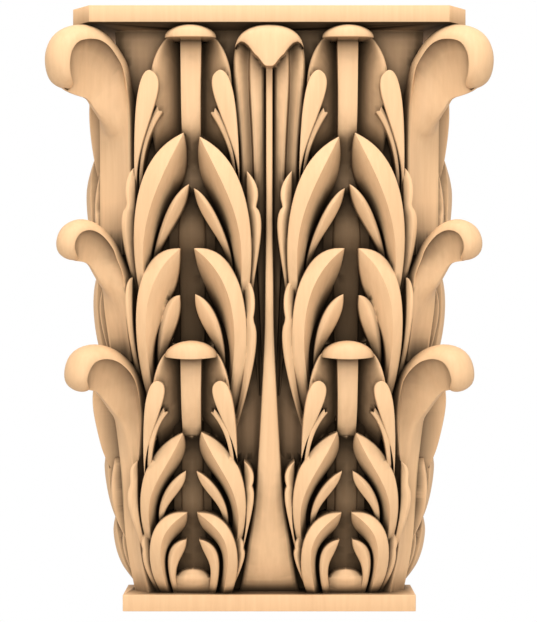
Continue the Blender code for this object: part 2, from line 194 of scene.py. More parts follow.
def lobe(name, spec, centre, side, turn, order, along=33):
    outer = along_curve(spec["outer"])
    inner = along_curve(spec["inner"])
    ridge = along_curve(spec["ridge"]) if "ridge" in spec else None
    height = flowing(spec["depth"])
    lean_out, lean_in = spec["lean"]
    notch = spec.get("notch", 0.0)
    marks = [-1.0, -0.75, -0.5, -0.25, 0.0, 0.2, 0.4, 0.6, 0.8, 1.0]
    steps = [(-1.0, r) for r in ROLL[:-1]] + [(m, 1.0) for m in marks] + [(1.0, r) for r in ROLL[:-1][::-1]]

    def place(s, v):
        s = s ** 1.25
        mark, roll = steps[round(v * (len(steps) - 1))]
        out = outer(s)
        inn = inner(s)
        mid = ridge(s) if ridge else 0.68 * out + 0.32 * inn
        edge = out if mark < 0 else inn
        width = max(1e-6, float(np.linalg.norm(edge - mid)))
        shy = min(EDGE_ROUND, 0.4 * width)
        tuck = shy * math.sin(0.5 * math.pi * (1 - roll))
        reach = abs(mark) * (width - shy) + (tuck if abs(mark) == 1.0 else 0.0)
        across, z = mid + (edge - mid) * (reach / width)
        if mark < 0:
            drop = lean_out * reach ** 1.15
        elif ridge:
            drop = lean_in * reach * (0.75 + 0.5 * s + 0.05 * reach)
        else:
            drop = lean_in * reach ** 1.3
        drop += shy * (1 - math.cos(0.5 * math.pi * (1 - roll)))
        z -= notch * (1 - abs(mark)) * max(0.0, 1 - 12 * s)
        return on_front(centre + side * across, height(s) - drop - turn * across, z)

    return carved_sheet(name, along, len(steps) - 1, place, sunk(order))


TALL_OUT = {
    "upper": dict(outer=((3.5, 242.5), (34.5, 229.5), (30.5, 177.5), (24, 151.5)),
                  ridge=((3.5, 242.5), (20, 207), (28.5, 193.5), (21.5, 151.5)),
                  inner=((3.5, 242.5), (-5, 208), (30.5, 206.5), (18, 151.5)),
                  depth=(43.5, 48.8, 47.5, 43, 33), lean=(0.22, 1.35)),
    "upper_small": dict(outer=((1, 217), (12.5, 211.5), (18, 188), (20.5, 176.5)),
                        inner=((1, 217), (0.5, 203.5), (16.5, 190.5), (17.5, 176.5)),
                        depth=(41, 42.5, 41, 38, 33), lean=(0.16, 0.6)),
    "side": dict(outer=((28.5, 225.5), (34, 221), (33.5, 212.5), (32, 206), (40.5, 200.5), (29, 167),
                        (27.5, 159)),
                 inner=((28, 225.5), (26.5, 204), (30, 181.5), (25, 159)),
                 depth=(41, 43.5, 42.5, 38, 29), lean=(0.3, 0.25)),
    "lower": dict(outer=((5.5, 185), (38, 187.5), (27, 117.5), (20.5, 101.5)),
                  ridge=((5.5, 185), (30, 165), (22.5, 130), (17.5, 101.5)),
                  inner=((5.5, 185), (5, 151), (29, 149.5), (14.5, 101.5)),
                  depth=(39, 44.5, 44, 38.5, 28), lean=(0.24, 0.8)),
    "lower_small": dict(outer=((6, 161.5), (20, 161.5), (18.5, 123.5), (16, 116.5)),
                        inner=((6, 161.5), (3, 146), (18.5, 132.5), (13, 116.5)),
                        depth=(35.5, 37, 36, 33, 27), lean=(0.16, 0.38)),
    "side_low": dict(outer=((29.5, 170.5), (38, 171), (29.5, 130.5), (27.5, 112)),
                     inner=((29.5, 170.5), (29.0, 156.5), (30.5, 142.5), (24.0, 112)),
                     depth=(38, 41, 39, 34, 24), lean=(0.3, 0.25)),
    "ear": dict(outer=((20.5, 273.5), (30, 274.5), (28, 220.5), (28.5, 206)),
                inner=((20, 273.5), (5.5, 267.5), (34, 234), (25.5, 206)),
                depth=(46, 47, 45.5, 42, 35.5), lean=(0.1, 0.1)),
    "ribbon": dict(outer=((17.0, 256), (23.5, 245.5), (26.5, 233), (26.5, 208)),
                   inner=((14.0, 253), (21.5, 242), (24.5, 231), (24.5, 208)),
                   depth=(43.5, 43.5, 42.5, 40, 35.5), lean=(0.1, 0.25), notch=1.4),
}
TALL_IN = {
    "upper": dict(outer=((4.5, 240.5), (34, 226.5), (33.5, 177.5), (26.5, 151.5)),
                  ridge=((4.5, 240.5), (22.5, 203.5), (29.5, 195.5), (23.5, 151.5)),
                  inner=((4.5, 240.5), (-3, 208), (31.5, 201), (19.5, 151.5)),
                  depth=(43.5, 48.8, 47.5, 43, 33), lean=(0.22, 1.35)),
    "upper_small": dict(outer=((1.5, 215), (11, 211.5), (21.5, 184.5), (21, 174)),
                        inner=((1.5, 215), (2.5, 199), (19, 189), (18, 174)),
                        depth=(41, 42.5, 41, 38, 33), lean=(0.16, 0.6)),
    "side": dict(outer=((28, 223.5), (33, 218.5), (35.5, 212.5), (32.5, 205.5), (40, 200), (30.5, 172),
                        (30.5, 155)),
                 inner=((28, 223.5), (26.5, 204), (32, 186), (26.5, 155)),
                 depth=(41, 43.5, 42.5, 38, 29), lean=(0.3, 0.25)),
    "lower": dict(outer=((1.5, 185), (34.5, 189), (31.5, 118.5), (22, 101.5)),
                  ridge=((1.5, 185), (29, 165), (22.5, 130), (17.5, 101.5)),
                  inner=((1.5, 185), (4, 151.5), (31, 150), (13.5, 101.5)),
                  depth=(39, 43.5, 43, 38, 28), lean=(0.22, 1.3)),
    "lower_small": dict(outer=((2, 162), (16.5, 157.5), (19.5, 128), (15.5, 116.5)),
                        inner=((2, 162), (-0.5, 145), (21.5, 133), (13, 116.5)),
                        depth=(37, 38, 37, 34, 28), lean=(0.16, 0.38)),
    "side_low": dict(outer=((26, 171), (33, 168), (33, 155.5), (31, 149), (37.5, 141), (25.5, 103),
                            (22.5, 93.5)),
                     inner=((26, 171), (28, 145.5), (28.5, 119), (19.5, 93.5)),
                     depth=(38, 41, 39, 34, 24), lean=(0.3, 0.25)),
    "ear": dict(outer=((14.5, 273.5), (25.5, 274.5), (24, 220.5), (24.5, 206)),
                inner=((14.5, 273.5), (-0.5, 269), (32.5, 230.5), (22, 206)),
                depth=(44.5, 45.5, 44, 41, 35), lean=(0.1, 0.1)),
    "ribbon": dict(outer=((12.5, 255), (20.5, 246), (22.5, 231.5), (23.5, 208)),
                   inner=((10.0, 252.5), (16.5, 242), (22.5, 230), (21.5, 208)),
                   depth=(42.5, 42.5, 41.5, 39, 34.5), lean=(0.1, 0.25), notch=1.4),
}
LOW_OUT = {
    "upper": dict(outer=((4.5, 92), (29, 82.5), (29.5, 51.5), (22, 28)),
                  ridge=((4.5, 92), (14.5, 67), (28.5, 63.5), (18.5, 28)),
                  inner=((4.5, 92), (-4, 71), (30.5, 66), (14, 28)),
                  depth=(36, 39.5, 38, 33, 23), lean=(0.22, 1.35)),
    "upper_small": dict(outer=((3, 72.5), (14, 67.5), (19.5, 54), (16, 40)),
                        inner=((3, 72.5), (1.5, 60.5), (19.5, 56), (13, 40)),
                        depth=(33.5, 34.5, 33.5, 31, 25), lean=(0.16, 0.38)),
    "side": dict(outer=((27.5, 77.5), (34, 73.5), (30.5, 70), (31.5, 65), (36.5, 54.5), (25.5, 40),
                        (25.5, 24)),
                 inner=((27.5, 77.5), (26.5, 60), (29, 50.5), (21.5, 24)),
                 depth=(33, 35, 34, 29, 20), lean=(0.3, 0.25)),
    "lower": dict(outer=((2.5, 51), (24.5, 54.5), (25.5, 24), (16, 7)),
                  ridge=((2.5, 51), (20.5, 40.5), (16.5, 28.5), (12.5, 7)),
                  inner=((2.5, 51), (1.5, 32), (21.5, 44.5), (10.5, 7)),
                  depth=(30, 34.5, 34, 30, 21.5), lean=(0.22, 1.3)),
    "lower_small": dict(outer=((3, 37), (17.5, 36), (12, 19), (10, 7)),
                        inner=((3, 37), (2.5, 27), (13, 26), (6, 7)),
                        depth=(28.5, 30, 29.5, 26.5, 21), lean=(0.16, 0.38)),
    "foot": dict(outer=((22.5, 42.5), (26, 43), (27, 33.5), (25.5, 32), (26.5, 24), (22.5, 16.5), (19, 7)),
                 inner=((22.5, 42.5), (21, 31.5), (21.5, 20), (14.5, 7)),
                 depth=(28, 29.5, 28, 24, 18), lean=(0.3, 0.25)),
    "ear": dict(outer=((16.5, 118.5), (26, 119.5), (23.5, 76), (24, 62)),
                inner=((16.5, 118.5), (3.5, 117), (31, 81.5), (21.5, 62)),
                depth=(44.5, 45.5, 43, 38.5, 30), lean=(0.1, 0.1)),
    "ribbon": dict(outer=((14, 105), (21, 96.5), (22, 85), (23, 64)),
                   inner=((11.5, 102.5), (18.5, 94.5), (20, 83.5), (20.5, 64)),
                   depth=(42, 42.5, 41, 36.5, 30), lean=(0.1, 0.25), notch=1.4),
}
LOW_IN = {
    "upper": dict(outer=((5, 92.5), (30, 83.5), (31.5, 52), (23, 28)),
                  ridge=((5, 92.5), (15.5, 69), (30.5, 61.5), (20.5, 28)),
                  inner=((5, 92.5), (-3.5, 69.5), (33, 68), (16, 28)),
                  depth=(36, 39.5, 38, 33, 23), lean=(0.22, 1.35)),
    "upper_small": dict(outer=((2.5, 72.5), (13, 68.5), (21.5, 54), (17.5, 40)),
                        inner=((2.5, 72.5), (3.5, 60.5), (20, 56), (14.5, 40)),
                        depth=(33.5, 34.5, 33.5, 31, 25), lean=(0.16, 0.38)),
    "side": dict(outer=((26.5, 77.5), (31.5, 74.5), (32.5, 69.5), (30.5, 65), (34.5, 60), (26, 38),
                        (25, 24)),
                 inner=((26.5, 77.5), (25.5, 62), (31.5, 44.5), (22, 24)),
                 depth=(33, 35, 34, 29, 20), lean=(0.3, 0.25)),
    "lower": dict(outer=((2.5, 51), (24, 53.5), (27, 25.5), (19.5, 7)),
                  ridge=((2.5, 51), (21.5, 39.5), (20, 31), (15.5, 7)),
                  inner=((2.5, 51), (3.5, 31.5), (23, 44.5), (12.5, 7)),
                  depth=(30, 34.5, 34, 30, 21.5), lean=(0.22, 1.3)),
    "lower_small": dict(outer=((3.5, 37), (18, 36), (14, 19.5), (11.5, 7)),
                        inner=((3.5, 37), (6.5, 24.5), (12.5, 27.5), (7, 7)),
                        depth=(28.5, 30, 29.5, 26.5, 21), lean=(0.16, 0.38)),
    "foot": dict(outer=((22, 42.5), (24.5, 41), (27.5, 35), (26, 32.5), (30, 30), (19, 10.5), (20, 7)),
                 inner=((22, 42.5), (20, 29.5), (24.5, 22), (16, 7)),
                 depth=(28, 29.5, 28, 24, 18), lean=(0.3, 0.25)),
    "ear": dict(outer=((14, 118.5), (25, 120.5), (22.5, 76.5), (23.5, 62)),
                inner=((14, 118.5), (0.5, 114.5), (33.5, 81.5), (21, 62)),
                depth=(42.5, 43.5, 41, 37, 29), lean=(0.1, 0.1)),
    "ribbon": dict(outer=((12, 104.5), (20, 96.5), (22, 83.5), (22.5, 64)),
                   inner=((10, 102.5), (17, 94.5), (21, 84.5), (20, 64)),
                   depth=(40.5, 41, 39.5, 35, 28.5), lean=(0.1, 0.25), notch=1.4),
}

# The two leaf columns: on each, a tall leaf and a low leaf with hooded tips, a flat midrib
# and a hollow on either side of it, standing over the lobes of the leaf below.
COLUMN_X = 39.3
COLUMN_TURN = 0.06
HOOD_SINK = 8.0
TALL_BLADE = ((296.0, 2.0, 40.0), (294.6, 6.4, 40.5), (292.4, 10.0, 41.0), (289.0, 13.6, 41.6),
              (282.5, 17.4, 42.2), (274.0, 19.8, 42.4), (263.0, 20.6, 42.0), (252.0, 20.4, 40.6),
              (243.0, 19.8, 37.0), (234.0, 18.8, 30.5), (224.0, 17.6, 24.5), (204.0, 15.0, 20.0))
LOW_BLADE = ((137.8, 2.0, 38.5), (136.4, 6.8, 39.2), (133.8, 11.4, 40.0), (130.0, 14.8, 40.8),
             (124.0, 17.4, 41.2), (116.0, 19.2, 40.8), (107.0, 19.8, 39.4), (99.0, 19.4, 36.0),
             (91.0, 18.4, 30.5), (83.0, 17.0, 25.0), (73.0, 15.0, 21.0), (60.0, 12.0, 18.0))
BLADE_MARKS = (1.0, 0.985, 0.95, 0.89, 0.8, 0.68, 0.55, 0.42, 0.3, 0.18, 0.08, 0.0)
RIB_MARKS = (1.0, 0.97, 0.9, 0.5, 0.0)
RIB_HALF = (5.9, 5.0)
HOLLOW_OUT = 11.0
HOLLOW_IN = 10.0
RIB_SECTION = ((-1.0, -5.0), (-0.62, -4.4), (-0.56, -1.2), (-0.5, -0.5), (-0.35, 0.0), (0.0, 0.3),
               (0.35, 0.0), (0.5, -0.5), (0.56, -1.2), (0.62, -4.4), (1.0, -5.0))
RIB_LEVELS = ((224.0, 7.0, 21.0), (208.0, 9.5, 28.5), (194.0, 11.5, 34.0), (180.0, 11.5, 30.5),
              (160.0, 11.0, 28.0), (130.0, 10.5, 25.0), (104.0, 9.5, 26.0), (95.0, 9.5, 30.5),
              (86.0, 9.5, 29.5), (72.0, 9.5, 30.5), (56.0, 9.5, 28.0), (42.0, 10.5, 22.5), (27.0, 14.5, 20.5), (7.0, 15.0, 14.5))


def standing(name, levels, centre, section, steps, order):
    rows = np.array(levels, float)[::-1]
    place_z = flowing(rows[:, 0])
    place_half = flowing(rows[:, 1])
    place_depth = flowing(rows[:, 2])

    def place(s, v):
        mark, rise = section[round(v * (len(section) - 1))]
        return on_front(centre + place_half(s) * mark, place_depth(s) + rise, place_z(s))

    return carved_sheet(name, steps, len(section) - 1, place, sunk(order))


def leaf_blade(name, levels, centre, side_out, order):
    rows = np.array(levels, float)
    place_z, place_half, place_depth = [flowing(rows[:, k]) for k in range(3)]
    strip = [("blade", f) for f in BLADE_MARKS] + [("rib", f) for f in RIB_MARKS]
    across_marks = [(-1, kind, f) for kind, f in strip] + [(1, kind, f) for kind, f in strip[:-1][::-1]]

    def place(s, v):
        side, kind, f = across_marks[round(v * (len(across_marks) - 1))]
        half = place_half(s)
        rib = min(0.4 * half, RIB_HALF[0] + (RIB_HALF[1] - RIB_HALF[0]) * min(1.0, 1.4 * s))
        hollow = (HOLLOW_OUT if side == side_out else HOLLOW_IN) * min(1.0, 5 * s)
        if kind == "blade":
            across = rib + (half - rib) * f
            rise = -hollow * (1 - f) - 1.4 * max(0.0, (f - 0.86) / 0.14) ** 3
            rise += 0.5 * math.exp(-((f - 0.8) / 0.14) ** 2)
        else:
            across = rib * (0.94 * f if f == 1.0 else f * 0.93)
            rise = 0.35 - 0.5 * f ** 6
        return on_front(centre + side * across, place_depth(s) + rise, place_z(s))

    return carved_sheet(name, 44, len(across_marks) - 1, place, sunk(order))


def hood(name, lip, top, half, back, front, centre):
    def place(s, v):
        u = math.sin(0.5 * math.pi * (2 * s - 1))
        round_off = max(0.0, 1 - u * u)
        edge_z = lip + 0.9 * u * u
        high = max(edge_z, edge_z + (top - edge_z) * round_off ** 0.5)
        reach = (front - back) * round_off ** 0.62
        turn_down = 0.5 * math.pi * min(1.0, v / 0.88)
        under = max(0.0, v - 0.88) / 0.12
        z = edge_z + (high - edge_z) * max(0.0, math.cos(turn_down)) ** 0.72 - 0.35 * math.sin(math.pi * under)
        depth = back + reach * math.sin(turn_down) ** 0.8 - 1.4 * under * round_off ** 0.3
        return on_front(centre + half * u, depth, z)

    return carved_sheet(name, 44, 18, place, lambda co: Vector((co.x, BACK_Y - back + HOOD_SINK, co.z)))


def leaf_column(centre, side_out, tag):
    made = [leaf_blade(tag + "tall_blade", TALL_BLADE, centre, side_out, 2),
            leaf_blade(tag + "low_blade", LOW_BLADE, centre, side_out, 4),
            standing(tag + "rib", RIB_LEVELS, centre, RIB_SECTION, 60, 6),
            hood(tag + "tall_hood", 289.2, 296.3, 12.8, 43.5, 51.0, centre),
            hood(tag + "low_hood", 129.8, 138.6, 13.2, 39.0, 49.5, centre)]
    tongue = ((21.2, 1.0, 24.5), (20.7, 4.0, 24.8), (19.4, 6.8, 25.0), (17.4, 8.8, 25.6), (14.5, 9.6, 25.0),
              (7.0, 10.4, 21.4))
    arch = ((-1.0, -1.6), (-0.8, -0.8), (-0.4, -0.2), (0.0, 0.0), (0.4, -0.2), (0.8, -0.8), (1.0, -1.6))
    made.append(standing(tag + "tongue", tongue, centre, arch, 24, 8))
    for side in (-1, 1):
        outward = side == side_out
        turn = COLUMN_TURN if outward else -COLUMN_TURN
        for leaf, table in (("tall_", TALL_OUT if outward else TALL_IN), ("low_", LOW_OUT if outward else LOW_IN)):
            for key, spec in table.items():
                name = f"{tag}{leaf}{key}{side}"
                made.append(lobe(name, spec, centre, side, turn, 10 + len(made)))
    return made


left = leaf_column(-COLUMN_X, -1, "left_")
right = leaf_column(COLUMN_X, 1, "right_")
pieces += left + right

# The middle leaf: a narrow fluted leaf between the two columns, whose tip turns over the
# flutes, and below it the long plain stem that widens down to the base.
STEM_LEVELS = ((7.0, 15.8, 17.0), (15.0, 14.0, 21.5), (30.0, 11.8, 26.5), (58.0, 7.6, 31.5), (90.0, 5.0, 34.0),
               (138.0, 2.7, 36.5), (160.0, 2.2, 38.0), (215.0, 1.7, 41.0), (280.0, 1.7, 43.0))
STEM_SECTION = ((-1.0, -1.2), (-0.93, -0.35), (-0.8, 0.0), (-0.4, 0.1), (0.0, 0.15), (0.4, 0.1), (0.8, 0.0),
                (0.93, -0.35), (1.0, -1.2))
FLUTE_LEVELS = ((110.0, 6.0, 19.0), (150.0, 9.0, 25.0), (200.0, 13.5, 33.0), (235.0, 15.5, 38.0),
                (262.0, 18.0, 41.0), (276.0, 18.4, 41.8), (285.0, 17.4, 42.0), (291.0, 14.5, 41.6), (295.0, 9.0, 40.5))
FLUTE_SIDE = ((1.0, -4.0), (0.985, -2.0), (0.955, -0.7), (0.91, -0.1), (0.85, -0.1), (0.77, -0.8), (0.68, -1.8),
              (0.62, -2.3), (0.575, -2.4), (0.55, -1.6), (0.53, -0.2), (0.50, 0.3), (0.42, 0.3), (0.32, 0.0),
              (0.23, -0.3), (0.16, -0.8), (0.13, -1.5), (0.125, -6.0))
FLUTE_SECTION = [(-u, rise) for u, rise in FLUTE_SIDE] + [(0.0, -6.2)] + list(FLUTE_SIDE[::-1])
CAP_HALF = 17.1
CAP_TOP = 296.25
CAP_REST = 44.0
CAP_DEPTH = 51.5
CAP_EDGE = ((0.0, 274.6), (0.10, 274.7), (0.17, 275.6), (0.24, 277.4), (0.34, 279.6), (0.42, 280.6), (0.50, 282.6),
            (0.60, 285.0), (0.72, 286.8), (0.82, 287.4), (0.92, 286.6), (1.0, 285.0))


def overturned_tip(s, v):
    u = math.sin(0.5 * math.pi * (2 * s - 1))
    round_off = max(0.0, 1 - u * u)
    low = float(np.interp(abs(u), [k[0] for k in CAP_EDGE], [k[1] for k in CAP_EDGE]))
    high = max(low + 0.05, 283.5 + (CAP_TOP - 283.5) * round_off ** 0.45)
    turn_down = 0.5 * math.pi * min(1.0, v / 0.9)
    under = max(0.0, v - 0.9) / 0.1
    z = low + (high - low) * max(0.0, math.cos(turn_down)) ** 0.6 - 0.3 * math.sin(math.pi * under)
    reach = (CAP_DEPTH - CAP_REST) * round_off ** 0.55
    depth = CAP_REST + reach * math.sin(turn_down) ** 0.65 - 2.6 * under
    return on_front(CAP_HALF * u, depth, z)


stem = standing("stem", STEM_LEVELS[::-1], 0.0, STEM_SECTION, 70, 1)
flutes = standing("flutes", FLUTE_LEVELS[::-1], 0.0, FLUTE_SECTION, 60, 3)
tip = carved_sheet("overturned_tip", 60, 24, overturned_tip, lambda co: Vector((co.x, BACK_Y - CAP_REST + 9.0, co.z)))
pieces += [stem, flutes, tip]

# The corner leaves: three on each corner, set on the diagonal one over the other.  Each is
# a plain hollow band that rises and curls over into a heavy rounded head.  The rows give
# the rim's reach and height, the heart's reach and height, the half width and the crown.
HOOKS = {
    "top": ((5.0, 182.0, 3.6, 182.0, 12.3, 16.0), (5.2, 236.0, 4.0, 234.0, 12.3, 14.0),
            (5.6, 252.0, 7.5, 244.5, 12.3, 12.0), (7.2, 265.0, 14.2, 251.5, 12.0, 10.0),
            (9.2, 274.3, 18.4, 255.5, 11.8, 9.4),
            (11.7, 278.9, 21.0, 258.6, 11.5, 9.0), (17.1, 284.7, 24.0, 260.0, 11.2, 8.9),
            (23.0, 287.3, 26.5, 260.3, 10.8, 8.8), (29.9, 286.9, 29.5, 260.7, 10.2, 8.2),
            (35.5, 284.6, 33.0, 261.4, 9.6, 7.4), (38.7, 279.8, 36.3, 262.5, 9.0, 6.8),
            (39.5, 274.4, 38.0, 264.6, 8.5, 6.2), (38.6, 269.6, 37.4, 265.0, 7.8, 5.4),
            (36.6, 266.8, 36.4, 265.0, 6.6, 4.0), (34.6, 265.0, 34.4, 264.4, 4.6, 2.4),
            (33.2, 264.0, 33.0, 263.8, 2.0, 1.0)),
    "middle": ((1.0, 128.0, 0.0, 128.0, 7.8, 17.0), (4.6, 152.0, 3.2, 151.5, 8.9, 17.0),
               (5.9, 164.5, 7.0, 160.5, 9.1, 14.5), (7.8, 172.8, 13.4, 167.0, 9.2, 10.0),
               (10.6, 178.6, 17.9, 172.8, 9.0, 8.6),
               (13.3, 184.5, 20.5, 176.0, 8.8, 7.2), (18.1, 189.8, 22.8, 177.4, 8.5, 6.2),
               (22.9, 192.6, 25.0, 177.9, 8.2, 6.0), (27.6, 193.3, 27.2, 178.1, 7.9, 5.8),
               (32.1, 191.7, 29.6, 178.3, 7.4, 5.2), (34.6, 188.1, 31.8, 178.9, 6.8, 4.8),
               (34.9, 184.7, 33.0, 180.2, 6.3, 4.4), (33.8, 182.6, 32.4, 180.4, 5.6, 3.6),
               (32.0, 181.0, 31.6, 180.0, 4.4, 2.6), (30.4, 180.0, 30.2, 179.6, 3.0, 1.6),
               (29.2, 179.4, 29.0, 179.2, 1.4, 0.7)),
    "low": ((-12.8, 7.0, -13.2, 7.0, 5.5, 17.0), (-7.3, 30.0, -8.0, 30.0, 5.5, 19.0),
            (-4.9, 52.0, -5.6, 52.0, 5.8, 18.0), (-4.2, 74.0, -4.9, 73.6, 7.2, 17.0),
            (-3.4, 95.5, -0.6, 93.6, 10.4, 15.0), (-1.6, 107.0, 7.2, 103.4, 11.4, 12.0),
            (0.4, 115.4, 12.8, 109.4, 11.6, 9.6),
            (2.7, 120.3, 15.5, 112.0, 11.5, 8.8), (7.0, 124.9, 17.6, 113.2, 11.3, 7.8),
            (12.5, 128.3, 19.8, 113.6, 11.0, 7.4), (19.0, 129.6, 22.0, 114.0, 10.4, 7.2),
            (24.6, 128.2, 24.6, 114.4, 9.6, 6.8), (27.6, 124.3, 27.0, 115.0, 8.8, 6.2),
            (28.6, 119.9, 27.0, 115.6, 8.0, 5.4), (27.4, 117.4, 26.4, 115.4, 7.0, 4.2),
            (25.6, 115.8, 25.2, 115.0, 5.4, 3.0), (24.0, 114.9, 23.8, 114.6, 3.4, 1.8),
            (22.8, 114.4, 22.6, 114.3, 1.6, 0.8)),
}
CHEEK_HOLLOW = 7.0


def corner_leaf(name, rows, side):
    columns = [flowing(column) for column in np.array(rows, float).T]
    steps = 62
    crown_steps = 22
    cheek_steps = 14
    root = math.sqrt(0.5)
    out_axis = Vector((side * root, -root, 0.0))
    cross_axis = Vector((-side * root, -root, 0.0))
    foot = Vector((side * BASE_HALF, BACK_Y - BASE_DEPTH + 1.0, 0.0))

    def place(s, v):
        rim_o, rim_z, heart_o, heart_z, half, crown = [column(s) for column in columns]
        lo = max(s - 0.02, 0.0)
        hi = min(s + 0.02, 1.0)
        run = Vector((columns[0](hi) - columns[0](lo), columns[1](hi) - columns[1](lo))).normalized()
        normal = Vector((-run.y, run.x))
        n = round(v * (crown_steps + cheek_steps))
        if n <= crown_steps:
            swing = math.pi * n / crown_steps
            cross = half * math.cos(swing)
            o = rim_o + normal.x * crown * math.sin(swing)
            z = rim_z + normal.y * crown * math.sin(swing)
        else:
            u = 2.0 * (n - crown_steps) / cheek_steps - 1.0
            headed = min(1.0, max(0.0, 3.2 * s - 0.45))
            facing = headed if u > 0 else 0.0
            cross = half * math.copysign(abs(u) ** (1.0 + 0.9 * facing), u)
            mix = u * u * (3.0 - 2.0 * abs(u)) if u > 0 else abs(u) ** 2.4
            o = heart_o + (rim_o - heart_o) * mix
            z = heart_z + (rim_z - heart_z) * mix
            dip = min(CHEEK_HOLLOW * facing, 0.72 * crown) * math.sin(math.pi * u * u)
            o += normal.x * dip
            z += normal.y * dip
        spot = foot + out_axis * o + cross_axis * cross
        return Vector((spot.x, spot.y, z))

    bm = bmesh.new()
    bmesh.ops.create_grid(bm, x_segments=steps, y_segments=crown_steps + cheek_steps, size=0.5)
    for v in bm.verts:
        v.co = place(v.co.x + 0.5, v.co.y + 0.5)
    bmesh.ops.remove_doubles(bm, verts=bm.verts, dist=0.01)
    bmesh.ops.holes_fill(bm, edges=[e for e in bm.edges if e.is_boundary], sides=0)
    return closed_piece(name, bm)


for side in (-1, 1):
    for key, rows in HOOKS.items():
        pieces.append(corner_leaf(f"corner_{key}{side}", rows, side))

# The return faces: the carver turned the corner and repeated the front a quarter turn
# round, so half a leaf column shows on each side before the wall cuts it off.
RETURN_SET_BACK = 5.0
axis = Matrix.Translation((0.0, BACK_Y + AXIS_BEHIND, 0.0))
for group, angle, tag in ((right, -0.5 * math.pi, "return_left_"), (left, 0.5 * math.pi, "return_right_")):
    turn = Matrix.Translation((0.0, RETURN_SET_BACK, 0.0)) @ axis @ Matrix.Rotation(angle, 4, "Z") @ axis.inverted()
    for piece in group:
        mesh = piece.data.copy()
        mesh.transform(turn)
        if min(v.co.y for v in mesh.vertices) > BACK_Y - 0.5:
            bpy.data.meshes.remove(mesh)
            continue
        twin = bpy.data.objects.new(tag + piece.name, mesh)
        carving.objects.link(twin)
        pieces.append(twin)
wall = plate("wall_face", ((-200.0, BACK_Y), (200.0, BACK_Y), (200.0, BACK_Y + 150.0), (-200.0, BACK_Y + 150.0)),
             -20.0, HEIGHT + 20.0, 0.0)


def grow_together(target, operation, other):
    mod = target.modifiers.new(operation, "BOOLEAN")
    mod.operation = operation
    mod.solver = "MANIFOLD"
    mod.object = other
    graph = bpy.context.evaluated_depsgraph_get()
    graph.update()
    mesh = bpy.data.meshes.new_from_object(target.evaluated_get(graph))
    target.modifiers.clear()
    target.data = mesh
    bpy.data.objects.remove(other, do_unlink=True)
    return target


while len(pieces) > 1:
    pairs = [pieces[k:k + 2] for k in range(0, len(pieces), 2)]
    pieces = [grow_together(pair[0], "UNION", pair[1]) if len(pair) > 1 else pair[0] for pair in pairs]
capital = grow_together(pieces[0], "DIFFERENCE", wall)
capital.name = "carved_capital"

bm = bmesh.new()
bm.from_mesh(capital.data)
bmesh.ops.remove_doubles(bm, verts=bm.verts, dist=0.004)
unseen = set(bm.faces)
shells = []
while unseen:
    shell = [unseen.pop()]
    for face in shell:
        for edge in face.edges:
            for other in edge.link_faces:
                if other in unseen:
                    unseen.discard(other)
                    shell.append(other)
    shells.append(shell)
shells.sort(key=len)
for shell in shells[:-1]:
    bmesh.ops.delete(bm, geom=shell, context="FACES")
bmesh.ops.scale(bm, vec=(0.001, 0.001, 0.001), verts=bm.verts)
bm.to_mesh(capital.data)
bm.free()
mesh = capital.data
mesh.shade_smooth()
mesh.set_sharp_from_angle(angle=math.radians(34.0))

# The finish: bare, finely sanded pale wood, with painted shade down in the cuts: the colour
# and the sheen are darkened by how closed-in each spot is, standing in for the shade in the recesses.
# Openness of each spot, from rays cast over its hemisphere; it drives the painted shade in the recesses.
RECESS_REACH = 0.024
RAYS = 40
points = np.zeros(len(mesh.vertices) * 3, np.float32)
mesh.vertices.foreach_get("co", points)
points = points.reshape(-1, 3)
tree = BVHTree.FromPolygons([Vector(p) for p in points.tolist()], [tuple(f.vertices) for f in mesh.polygons])
golden = math.pi * (3.0 - math.sqrt(5.0))
fan = []
for k in range(RAYS):
    rise = math.sqrt(1.0 - (k + 0.5) / RAYS)
    flat = math.sqrt(1.0 - rise * rise)
    fan.append((flat * math.cos(golden * k), flat * math.sin(golden * k), rise))
openness = np.zeros(len(points))
for k, vertex in enumerate(mesh.vertices):
    normal = vertex.normal
    side_a = normal.orthogonal().normalized()
    side_b = normal.cross(side_a)
    start = vertex.co + normal * 0.0003
    total = 0.0
    for a, b, c in fan:
        way = side_a * a + side_b * b + normal * c
        spot, n, i, far = tree.ray_cast(start, way, RECESS_REACH)
        total += 1.0 if far is None else (far / RECESS_REACH) ** 0.8
    openness[k] = total / RAYS
shown = np.ones(len(mesh.loops), np.float32)
for face in mesh.polygons:
    if face.normal.y < 0.999:
        for k in face.loop_indices:
            shown[k] = openness[mesh.loops[k].vertex_index]
store = mesh.attributes.new("openness", "FLOAT", "CORNER")
store.data.foreach_set("value", shown)

wood = bpy.data.materials.new("carved_wood")
wood.use_nodes = True
nodes = wood.node_tree.nodes
links = wood.node_tree.links
skin = nodes["Principled BSDF"]
coords = nodes.new("ShaderNodeTexCoord")
stretch = nodes.new("ShaderNodeMapping")
stretch.inputs["Scale"].default_value = (420.0, 420.0, 26.0)
links.new(coords.outputs["Object"], stretch.inputs["Vector"])
grain = nodes.new("ShaderNodeTexNoise")
grain.inputs["Scale"].default_value = 1.0
grain.inputs["Detail"].default_value = 5.0
grain.inputs["Roughness"].default_value = 0.6
links.new(stretch.outputs["Vector"], grain.inputs["Vector"])
broad = nodes.new("ShaderNodeTexNoise")
broad.inputs["Scale"].default_value = 14.0
broad.inputs["Detail"].default_value = 2.0
links.new(coords.outputs["Object"], broad.inputs["Vector"])
painted_shade_mask = nodes.new("ShaderNodeAttribute")
painted_shade_mask.attribute_name = "openness"
grain_tone = nodes.new("ShaderNodeValToRGB")
grain_tone.color_ramp.elements[0].position = 0.25
grain_tone.color_ramp.elements[0].color = (0.86, 0.535, 0.285, 1.0)
grain_tone.color_ramp.elements[1].position = 0.75
grain_tone.color_ramp.elements[1].color = (0.93, 0.60, 0.33, 1.0)
links.new(grain.outputs["Fac"], grain_tone.inputs["Fac"])
